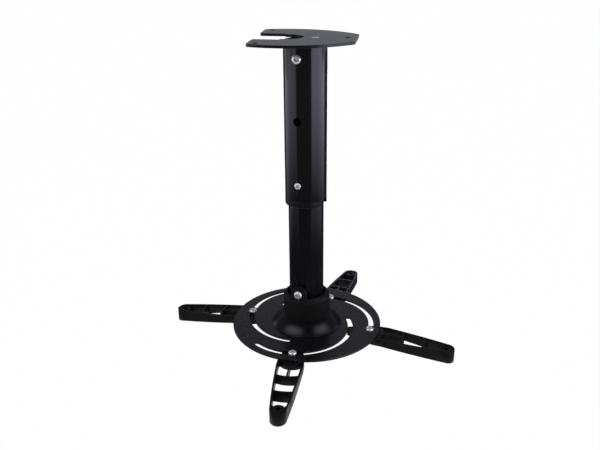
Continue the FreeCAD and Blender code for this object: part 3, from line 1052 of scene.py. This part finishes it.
@dataclass
class TiltJoint:
    """Cup, tilt bolt and swivel bolt, sizes in millimetres."""

    cup_body: str = "cup"
    inner_body: str = "inner_column"
    cup_edge: float = 0.35
    washer_edge: float = 0.25
    washer_thick: float = 1.6
    ear_outer: float = 25.35
    tilt_end: float = 8.0
    tilt_thread: float = 12.0
    swivel_end: float = 10.0
    swivel_thread: float = 14.0

    def build(self) -> None:
        """Build the cup and the two bolt stacks."""
        EasedCopy("tilt_cup", "eared_cup", self.cup_edge).fit(CAST_COAT, Slot.STEEL, self.cup_body)
        self.build_tilt_stack()
        self.build_swivel_stack()

    def build_tilt_stack(self) -> None:
        """Build the cross bolt with its washer and nut."""
        aim = heading(BOLT_BEARING)
        length = 2 * self.ear_outer + self.washer_thick + self.tilt_end
        bolt = ButtonScrew(length=length, thread_len=self.tilt_thread, **M6_SMALL_HEAD)
        spot = (bearing(self.ear_outer, BOLT_BEARING, TILT_Z), aim)
        bolt.fit("tilt_key_bolt", spot, self.inner_body, "tilt_bolt")
        washer = EasedCopy("tilt_washer", "tilt_plain_washer", self.washer_edge)
        washer.fit(ZINC_PLATE, Slot.ZINC, self.inner_body)
        seat = bearing(-self.ear_outer - self.washer_thick, BOLT_BEARING, TILT_Z)
        M6_NUT.fit("tilt_hex_nut", (seat, aim), self.inner_body, "tilt_nut")

    def build_swivel_stack(self) -> None:
        """Build the upright bolt through the cup's floor, with its washers and nut."""
        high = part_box("swivel_washers")[1].z / MM
        low = DISC_TOP - DISC_THICK - self.washer_thick
        bolt = ButtonScrew(length=high - low + self.swivel_end, thread_len=self.swivel_thread, **M8)
        bolt.fit("swivel_key_bolt", (UP * high * MM, UP), self.cup_body, "swivel_bolt")
        washers = EasedCopy("swivel_washers", "swivel_plain_washers", self.washer_edge)
        washers.fit(ZINC_PLATE, Slot.ZINC, self.cup_body)
        M8_NUT.fit("swivel_hex_nut", (UP * low * MM, UP), self.cup_body, "swivel_nut")


@dataclass
class SlottedDisc:
    """Domed cap and the disc with its spiral slots, sizes in millimetres."""

    body: str = "disc"
    sphere_r: float = 52.5
    base_r: float = 42.0
    edge: float = 0.6
    base_chamfer: float = 0.25
    inner_flare: float = 0.3
    plateau_r: float = 20.0
    wall: float = 2.5
    bore: float = 4.08
    outer_steps: int = 40
    inner_steps: int = 24
    turn_steps: int = 160
    slot_edge: float = 0.3

    def dome_arc(self, radius: float, from_r: float, to_r: float, steps: int) -> list[Point]:
        """Trace the dome's round face between two radii.

        Args:
            radius: Radius of the sphere.
            from_r: Distance from the axis at the first point.
            to_r: Distance from the axis at the last point.
            steps: Pieces that the arc is made of.

        Returns:
            Points of the arc.
        """
        centre = DISC_TOP + self.edge - math.sqrt(self.sphere_r ** 2 - self.base_r ** 2)
        radii = [from_r + (to_r - from_r) * i / steps for i in range(steps + 1)]
        return [(r, centre + math.sqrt(radius ** 2 - r ** 2)) for r in radii]

    def build(self) -> None:
        """Build the dome and the disc."""
        outer = self.dome_arc(self.sphere_r, self.base_r, self.plateau_r, self.outer_steps)
        top = outer[-1][1]
        inside = top - self.wall
        inner = self.dome_arc(self.sphere_r - self.wall, self.plateau_r - self.wall, self.base_r - self.wall,
                              self.inner_steps)
        inner = [(r, min(z, inside)) for r, z in inner if z > DISC_TOP]
        base = [(inner[-1][0] + self.inner_flare, DISC_TOP), (self.base_r - self.base_chamfer, DISC_TOP),
                (self.base_r, DISC_TOP + self.base_chamfer)]
        profile = outer + [(self.bore, top), (self.bore, inside)] + inner + base
        dome = turned("domed_cap", profile + profile[:1], self.turn_steps)
        dress(dome, DOME_COAT, Slot.STEEL, self.body, "dome_cap")
        EasedCopy("arm_disc", "slotted_disc", self.slot_edge).fit(POWDER_COAT, Slot.STEEL, self.body)


@dataclass
class ArmSet:
    """Four moulded arms with their screws and nuts, sizes in millimetres."""

    names: tuple[str, ...] = ("left", "front", "right", "back")
    skin: float = 2.6
    head_gap: float = 0.03
    screw_end: float = 6.0
    screw_thread: float = 6.0
    edge: float = 0.4

    def build(self) -> None:
        """Build each arm."""
        grip = DISC_THICK + self.skin
        screw = ButtonScrew(length=grip + self.screw_end, thread_len=self.screw_thread, **M5)
        for name in self.names:
            arm = name + "_arm"
            low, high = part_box(name + "_arm_screw")
            spot = Vector(((low.x + high.x) / 2, (low.y + high.y) / 2, DISC_TOP * MM))
            head = spot + UP * self.head_gap * MM
            screw.fit(name + "_slot_screw", (head, UP), name + "_slider", name + "_arm_screw")
            M5_NUT.fit(name + "_pocket_nut", (spot - UP * grip * MM, UP), arm, name + "_arm_nut")
            EasedCopy(arm, name + "_leaf_arm", self.edge).fit(MOULDING, Slot.PLASTIC, arm)


@dataclass(frozen=True)
class Softbox:
    """A soft lamp by its bearing from the camera, in metres, degrees and watts."""

    name: str
    turn: float
    distance: float
    height: float
    width: float
    tall: float
    roll: float
    watts: float


@dataclass(frozen=True)
class StudioCard:
    """A curved card round the mount that only mirrors show, by its bearings from the camera.

    It glows from one strength near the floor to another at the height of the plate.
    """

    name: str
    start: float
    end: float
    top: float
    glow_low: float
    glow_high: float


@dataclass
class Studio:
    """Floor, world, lamps, cards and camera around the mount, in metres and degrees."""

    WHITE = (1.0, 1.0, 1.0, 1.0)
    # A side's fall-off peaks at a quarter in its middle, so two of them need sixteen to reach one
    LAMP_PEAK = 16.0

    camera_at: tuple[float, float, float] = (0.1252, -0.7947, 0.1246)
    camera_bearing: float = -81.0
    pitch: float = 22.88
    yaw: float = -0.467
    roll: float = -0.5255
    lens: float = 45.0
    sensor: float = 36.0
    clip: Span = (0.01, 60.0)
    floor_z: float = -0.95
    floor_r: float = 14.0
    floor_sides: int = 96
    floor_shade: Colour = (0.86, 0.86, 0.86)
    floor_white: float = 0.99
    middle_z: float = -0.33
    room_light: float = 0.5
    mirror_stops: tuple[tuple[float, Colour], ...] = (
        (0.0, (1.0, 1.0, 1.0)),
        (0.02, (0.43, 0.43, 0.49)),
        (0.2, (0.40, 0.40, 0.46)),
        (0.42, (0.26, 0.265, 0.32)),
        (0.65, (0.24, 0.245, 0.30)),
        (0.85, (0.06, 0.06, 0.07)),
        (1.0, (0.05, 0.05, 0.06)),
    )
    lamps: tuple[Softbox, ...] = (
        Softbox("left_softbox", -60.0, 1.2, 1.03, 2.0, 0.8, 25.0, 23.0),
        Softbox("right_softbox", 68.0, 1.2, 1.03, 1.7, 0.8, -25.0, 19.0),
    )
    lamp_tint: Colour = (0.95, 0.96, 1.05)
    card_r: float = 0.95
    card_steps: int = 24
    card_glow: Span = (-0.68, -0.20)
    card_tint: Colour = (0.935, 0.925, 1.16)
    cards: tuple[StudioCard, ...] = (
        StudioCard("camera_card", -49.5, 31.0, 0.06, 0.15, 0.20),
        StudioCard("right_card", 31.0, 94.0, 0.02, 0.15, 3.40),
        StudioCard("right_edge_card", 94.0, 116.0, -0.13, 0.10, 3.00),
        StudioCard("right_corner_card", 116.0, 166.0, -0.12, 0.07, 0.07),
        StudioCard("back_card", 166.0, 190.0, -0.22, 0.30, 4.20),
        StudioCard("left_corner_card", 190.0, 228.0, -0.12, 0.07, 0.07),
        StudioCard("left_edge_card", 228.0, 264.0, -0.19, 0.05, 1.85),
        StudioCard("left_card", 264.0, 310.5, -0.10, 0.05, 1.75),
    )

    def build(self) -> None:
        """Build the floor, the world, the lamps, the cards and the camera."""
        bpy.context.scene.view_settings.view_transform = "Standard"
        self.build_floor()
        self.build_world()
        for lamp in self.lamps:
            self.build_lamp(lamp)
        for card in self.cards:
            self.build_card(card)
        self.build_camera()

    def around(self, turn: float, radius: float, height: float) -> Vector:
        """Place at a bearing from the camera, a radius and a height."""
        angle = math.radians(self.camera_bearing + turn)
        return Vector((math.cos(angle) * radius, math.sin(angle) * radius, height))

    @staticmethod
    def empty_material(mesh: Mesh) -> NodeSheet:
        """Give a mesh a material of its own name with no nodes in it yet.

        Args:
            mesh: Mesh that gets the material.

        Returns:
            Sheet of the material's nodes.
        """
        made = bpy.data.materials.new(mesh.name)
        made.use_nodes = True
        made.node_tree.nodes.clear()
        mesh.materials.append(made)
        return NodeSheet(made.node_tree)

    def build_floor(self) -> None:
        """Lay a wide pale floor that shows white and keeps a soft shadow."""
        work = bmesh.new()
        bmesh.ops.create_circle(work, cap_ends=True, segments=self.floor_sides, radius=self.floor_r)
        bmesh.ops.translate(work, vec=(0, 0, self.floor_z), verts=work.verts)
        mesh = mesh_from(work, "pale_floor")
        sheet = self.empty_material(mesh)
        path = sheet.add("ShaderNodeLightPath").outputs
        direct = sheet.math("MAXIMUM", path["Is Camera Ray"], path["Is Glossy Ray"])
        seen = sheet.math("MAXIMUM", direct, path["Is Transmission Ray"])
        matt = sheet.add("ShaderNodeBsdfDiffuse", {"Color": (*self.floor_shade, 1)}).outputs[0]
        white = sheet.add("ShaderNodeEmission", {"Color": self.WHITE, "Strength": 1.0}).outputs[0]
        share = sheet.math("MULTIPLY", seen, self.floor_white)
        both = sheet.add("ShaderNodeMixShader", {0: share, 1: matt, 2: white}).outputs[0]
        sheet.add("ShaderNodeOutputMaterial", {"Surface": both})
        show("pale_floor", mesh)

    def build_world(self) -> None:
        """Light the room evenly, white behind the mount and dimmer overhead in mirrors."""
        world = bpy.data.worlds.new("studio")
        bpy.context.scene.world = world
        world.use_nodes = True
        world.node_tree.nodes.clear()
        sheet = NodeSheet(world.node_tree)
        path = sheet.add("ShaderNodeLightPath").outputs
        ramp = sheet.add("ShaderNodeValToRGB", {0: sheet.height_in("Generated")})
        stops = ramp.color_ramp.elements
        first, *middle, last = self.mirror_stops
        for stop, (place, colour) in zip(stops, (first, last)):
            stop.position, stop.color = place, (*colour, 1)
        for place, colour in middle:
            stops.new(place).color = (*colour, 1)
        plain, mirror, white = (
            sheet.add("ShaderNodeBackground", {"Color": colour, "Strength": strength}).outputs[0]
            for colour, strength in (
                (self.WHITE, self.room_light), (ramp.outputs[0], 1.0), (self.WHITE, 1.0)))
        lit = sheet.add("ShaderNodeMixShader", {0: path["Is Glossy Ray"], 1: plain, 2: mirror}).outputs[0]
        clear = sheet.math("MAXIMUM", path["Is Camera Ray"], path["Is Transmission Ray"])
        both = sheet.add("ShaderNodeMixShader", {0: clear, 1: lit, 2: white}).outputs[0]
        sheet.add("ShaderNodeOutputWorld", {"Surface": both})

    def build_card(self, card: StudioCard) -> None:
        """Stand one curved card round the mount.

        Args:
            card: Card to stand.
        """
        work = bmesh.new()
        columns = []
        for i in range(self.card_steps + 1):
            turn = card.start + (card.end - card.start) * i / self.card_steps
            ends = (self.around(turn, self.card_r, z) for z in (self.floor_z, card.top))
            columns.append([work.verts.new(end) for end in ends])
        for near, far in zip(columns, columns[1:]):
            work.faces.new((near[0], far[0], far[1], near[1]))
        mesh = mesh_from(work, card.name)
        sheet = self.empty_material(mesh)
        glow = sheet.spread(sheet.height_in("Object"), self.card_glow, (card.glow_low, card.glow_high))
        light = sheet.add("ShaderNodeEmission", {"Color": (*self.card_tint, 1), "Strength": glow}).outputs[0]
        sheet.add("ShaderNodeOutputMaterial", {"Surface": light})
        piece = show(card.name, mesh)
        piece.visible_camera = piece.visible_diffuse = False
        piece.visible_shadow = piece.visible_transmission = False

    def build_lamp(self, lamp: Softbox) -> None:
        """Hang one softbox so that it faces the mount, bright in its middle and dim at its edges.

        Args:
            lamp: Lamp to hang.
        """
        data = bpy.data.lights.new(lamp.name, "AREA")
        data.shape, data.size, data.size_y = "RECTANGLE", lamp.width, lamp.tall
        data.energy, data.color = lamp.watts, self.lamp_tint
        data.use_nodes = True
        sheet = NodeSheet(data.node_tree)
        inside = sheet.add("ShaderNodeNewGeometry").outputs["Parametric"]
        across = sheet.add("ShaderNodeSeparateXYZ", {0: inside}).outputs
        width, height = (sheet.math("MULTIPLY", across[axis], sheet.math("SUBTRACT", 1.0, across[axis]))
                         for axis in ("X", "Y"))
        fall = sheet.math("MULTIPLY", sheet.math("MULTIPLY", width, height), self.LAMP_PEAK)
        data.node_tree.links.new(fall, data.node_tree.nodes["Emission"].inputs["Strength"])
        holder = show(lamp.name, data)
        holder.location = self.around(lamp.turn, lamp.distance, lamp.height)
        facing = (UP * self.middle_z - holder.location).to_track_quat("-Z", "Y").to_matrix()
        holder.rotation_euler = (facing @ Matrix.Rotation(math.radians(lamp.roll), 3, "Z")).to_euler()

    def build_camera(self) -> None:
        """Set the camera where the photograph was taken from."""
        data = bpy.data.cameras.new("camera")
        data.lens, data.sensor_width = self.lens, self.sensor
        data.clip_start, data.clip_end = self.clip
        holder = show("camera", data)
        pitch, yaw, roll = (math.radians(v) for v in (self.pitch, self.yaw, self.roll))
        ahead = Vector((math.sin(yaw) * math.cos(pitch), math.cos(yaw) * math.cos(pitch), -math.sin(pitch)))
        right = Vector((math.cos(yaw), -math.sin(yaw), 0))
        up = right.cross(ahead)
        side = right * math.cos(roll) + up * math.sin(roll)
        top = up * math.cos(roll) - right * math.sin(roll)
        axes = Matrix((side, top, -ahead)).transposed()
        # A camera at bearing -90 looks along +Y
        turn = Matrix.Rotation(math.radians(self.camera_bearing + 90), 3, "Z")
        holder.matrix_world = Matrix.Translation(self.camera_at) @ (turn @ axes).to_4x4()
        bpy.context.scene.camera = holder


def main() -> None:
    """Build the mount and the studio, logging each assembly as it is built."""
    logging.basicConfig(level=logging.INFO, format="%(message)s")
    for assembly in (CeilingHead(), Column(), TiltJoint(), SlottedDisc(), ArmSet(), Studio()):
        assembly.build()
        log.info("built %s", type(assembly).__name__)


if __name__ == "__main__":
    main()
